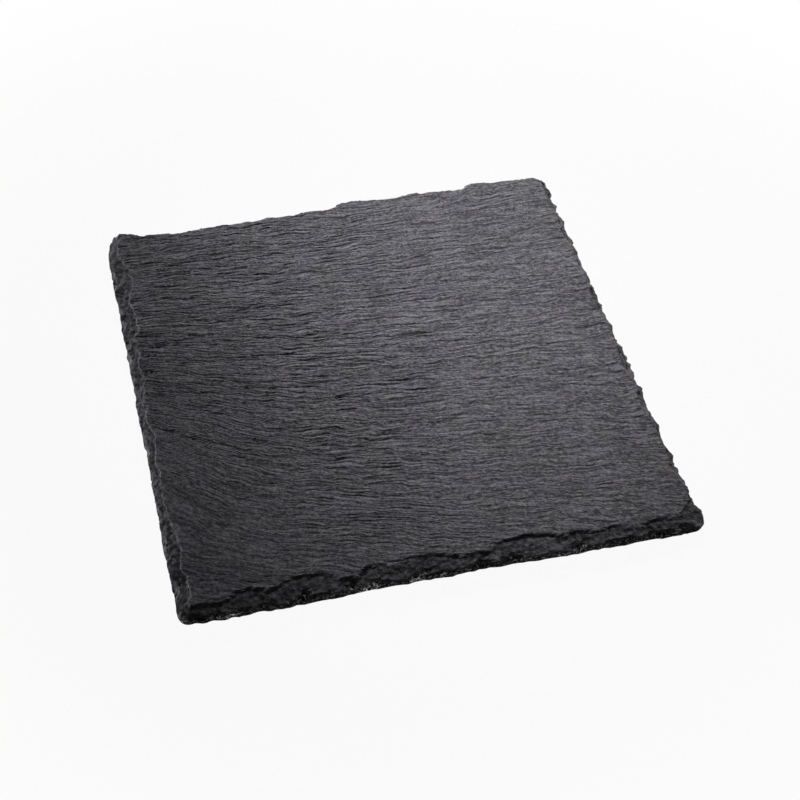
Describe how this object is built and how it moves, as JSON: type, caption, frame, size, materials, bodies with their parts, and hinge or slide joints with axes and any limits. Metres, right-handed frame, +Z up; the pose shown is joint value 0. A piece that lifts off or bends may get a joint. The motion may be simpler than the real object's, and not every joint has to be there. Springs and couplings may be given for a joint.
{
  "type": "slate serving board",
  "caption": "Square slate serving board with a riven top, hand-flaked edges and small foam feet stuck under its corners.",
  "frame": {"origin": "on the table, under the middle of the board", "axes": "+Z up out of the serving face, the widely flaked front edge towards -Y, +X to the right"},
  "size_m": [0.2, 0.2023, 0.0077],
  "materials": {
    "slate": "matte",
    "foam": "matte",
    "adhesive": "satin"
  },
  "bodies": {
    "root": {"slate_slab": "slate", "foot_pad_front_left": "foam", "foot_pad_front_right": "foam", "foot_pad_back_right": "foam", "foot_pad_back_left": "foam", "adhesive_disc_front_left": "adhesive", "adhesive_disc_front_right": "adhesive", "adhesive_disc_back_right": "adhesive", "adhesive_disc_back_left": "adhesive"}
  },
  "joints": []
}
